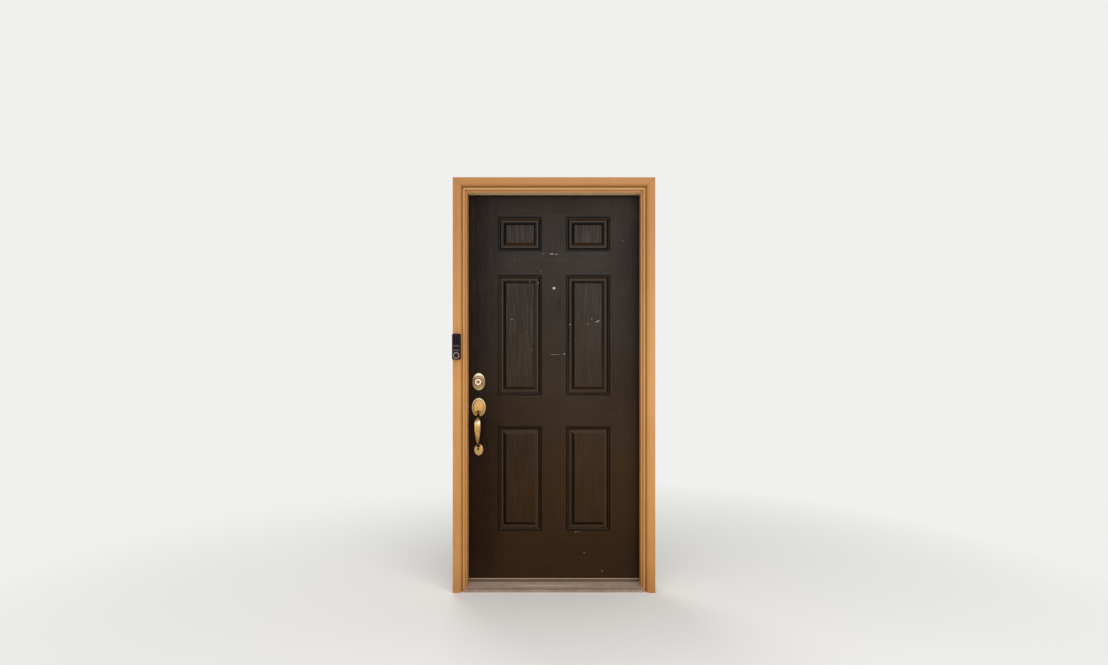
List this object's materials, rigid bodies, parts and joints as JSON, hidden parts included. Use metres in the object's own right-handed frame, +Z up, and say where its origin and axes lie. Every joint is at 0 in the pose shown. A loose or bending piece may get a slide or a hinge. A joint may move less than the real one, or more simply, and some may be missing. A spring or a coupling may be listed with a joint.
{
  "type": "panelled front door",
  "caption": "Panelled front door hung in its own jambs, head, sill and moulded casing, with a handleset, deadbolt, viewer and doorbell that work.",
  "frame": {"origin": "foot of the sill, in the middle of the doorway, on the plane of the wall's outer face where the casing's back lies", "axes": "+X to the right as seen from outside, towards the hinges; +Y into the house, square to the wall; +Z up"},
  "size_m": [1.0293, 0.2323, 2.1114],
  "materials": {
    "casing_paint": "satin",
    "door_finish": "satin",
    "stile_wood": "matt",
    "foam": "matt",
    "sill_metal": "satin",
    "sill_core": "matt",
    "cap": "matt",
    "seal": "matt",
    "brass": "satin",
    "hinge_metal": "satin",
    "lock_steel": "brushed",
    "bell_black": "satin",
    "bell_gloss": "gloss",
    "bell_ring": "satin",
    "lens": "gloss"
  },
  "bodies": {
    "frame": {"jamb_left": "casing_paint", "jamb_left_strike_lengths": "casing_paint", "jamb_right": "casing_paint", "head_jamb": "casing_paint", "casing_left": "casing_paint", "casing_right": "casing_paint", "casing_head": "casing_paint", "sill_deck": "sill_metal", "sill_core": "sill_core", "threshold_cap": "cap", "weatherstrip_left": "seal", "weatherstrip_right": "seal", "weatherstrip_head": "seal", "latch_strike": "brass", "deadbolt_strike": "brass", "frame_screws": "hinge_metal", "hinge_top_jamb_plate": "hinge_metal", "hinge_middle_jamb_plate": "hinge_metal", "hinge_bottom_jamb_plate": "hinge_metal", "hinge_pins": "hinge_metal", "doorbell_bracket": "bell_black", "doorbell_body": "bell_black", "doorbell_window": "bell_gloss", "doorbell_ring": "bell_ring"},
    "leaf": {"skin_outside": "door_finish", "skin_inside": "door_finish", "stile_latch": "stile_wood", "stile_hinge": "stile_wood", "rail_top": "stile_wood", "rail_bottom": "stile_wood", "foam_core": "foam", "lock_block": "stile_wood", "door_sweep": "seal", "hinge_top_leaf_plate": "hinge_metal", "hinge_middle_leaf_plate": "hinge_metal", "hinge_bottom_leaf_plate": "hinge_metal", "leaf_screws": "hinge_metal", "handle_escutcheon": "brass", "handle_grip": "brass", "lower_rose": "brass", "deadbolt_rose": "brass", "deadbolt_cylinder": "brass", "deadbolt_case": "lock_steel", "deadbolt_faceplate": "brass", "thumbturn_plate": "brass", "latch_case": "lock_steel", "latch_faceplate": "brass", "latch_spring": "lock_steel", "knob_rose": "brass", "lock_screws": "lock_steel", "viewer_barrel": "brass", "viewer_lens": "lens", "viewer_sleeve": "brass"},
    "thumbpiece": {"thumbpiece": "brass"},
    "inside_knob": {"inside_knob": "brass"},
    "latch_bolt": {"latch_bolt": "lock_steel"},
    "thumbturn": {"thumbturn": "brass"},
    "deadbolt_bolt": {"deadbolt_bolt": "lock_steel"},
    "key_plug": {"key_plug": "brass"},
    "doorbell_button": {"doorbell_button": "bell_black"}
  },
  "joints": [
    {"name": "leaf_swing", "type": "hinge", "parent": "frame", "child": "leaf", "pos_m": [0.4556, 0.1219, 1.0475], "axis": [0, 0, -1], "range_deg": [0, 170]},
    {"name": "thumb_press", "type": "hinge", "parent": "leaf", "child": "thumbpiece", "pos_m": [-0.3937, 0.06805, 0.913], "axis": [1, 0, 0], "range_deg": [0, 12], "stiffness_Nm_per_rad": 0.4, "springref_deg": -8.59},
    {"name": "knob_turn", "type": "hinge", "parent": "leaf", "child": "inside_knob", "pos_m": [-0.3937, 0.1159, 0.928], "axis": [0, 1, 0], "range_deg": [-55, 55], "stiffness_Nm_per_rad": 0.3},
    {"name": "latch_slide", "type": "slide", "parent": "leaf", "child": "latch_bolt", "axis": [-1, 0, 0], "range_m": [0, 0.0125], "deforming": ["latch_spring"]},
    {"name": "thumbturn_turn", "type": "hinge", "parent": "leaf", "child": "thumbturn", "pos_m": [-0.3937, 0.1159, 1.068], "axis": [0, 1, 0], "range_deg": [0, 90]},
    {"name": "deadbolt_slide", "type": "slide", "parent": "leaf", "child": "deadbolt_bolt", "axis": [-1, 0, 0], "range_m": [0, 0.0254]},
    {"name": "key_turn", "type": "hinge", "parent": "leaf", "child": "key_plug", "pos_m": [-0.3937, 0.07145, 1.068], "axis": [0, 1, 0], "range_deg": [-90, 90]},
    {"name": "bell_press", "type": "slide", "parent": "frame", "child": "doorbell_button", "axis": [0, 1, 0], "range_m": [0, 0.001], "stiffness_N_per_m": 600, "springref_m": -0.0005}
  ],
  "couplings": [
    {"joint": "deadbolt_slide", "follows": "thumbturn_turn", "m_per_rad": 0.01617}
  ]
}
